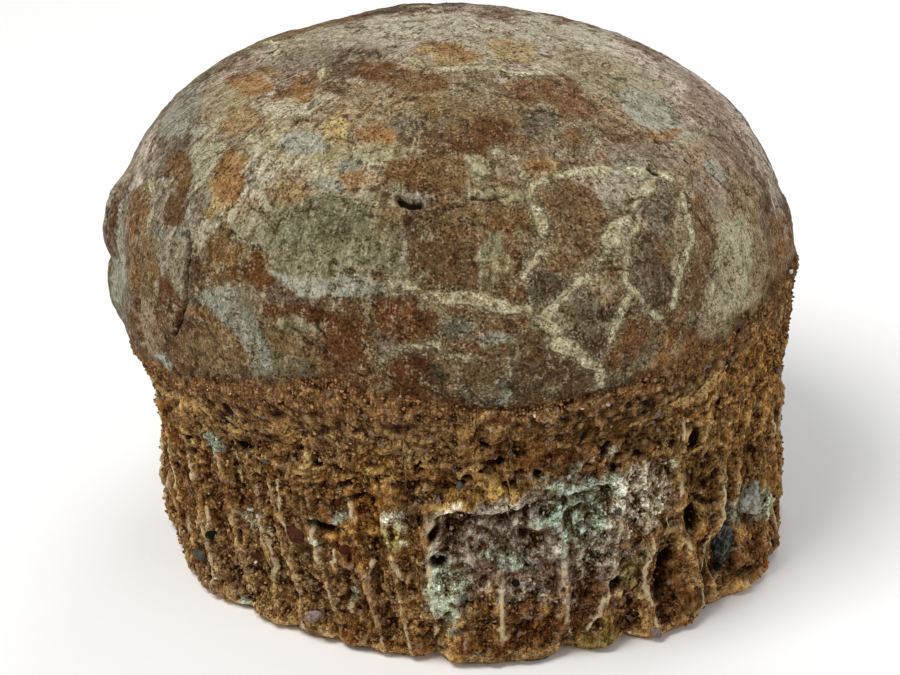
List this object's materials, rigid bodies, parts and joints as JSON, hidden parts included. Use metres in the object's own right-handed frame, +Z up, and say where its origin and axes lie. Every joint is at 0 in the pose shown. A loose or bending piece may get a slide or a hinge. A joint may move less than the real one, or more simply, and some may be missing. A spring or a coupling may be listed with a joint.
{
  "type": "fossil dinosaur egg",
  "caption": "Fossil dinosaur egg with a crushed, cemented shell, seated in a hand-trimmed block of pebbly sandstone with fluted sides and a flat underside.",
  "frame": {"origin": "middle of the flat underside of the block of rock", "axes": "+Z up out of the underside, -Y towards the front, where the broken grey face is, and +X to the right, along the egg's longest way"},
  "size_m": [0.1683, 0.1546, 0.1271],
  "materials": {
    "fossil_shell": "satin, mottled brown, tan and grey-green",
    "sandstone_matrix": "matt, coarse, red-brown with paler grains",
    "dark_pebble": "matt, nearly black",
    "green_pebble": "matt, grey-green"
  },
  "bodies": {
    "root": {"egg": "fossil_shell", "matrix": "sandstone_matrix", "dark_pebble": "dark_pebble", "green_pebble": "green_pebble"}
  },
  "joints": []
}
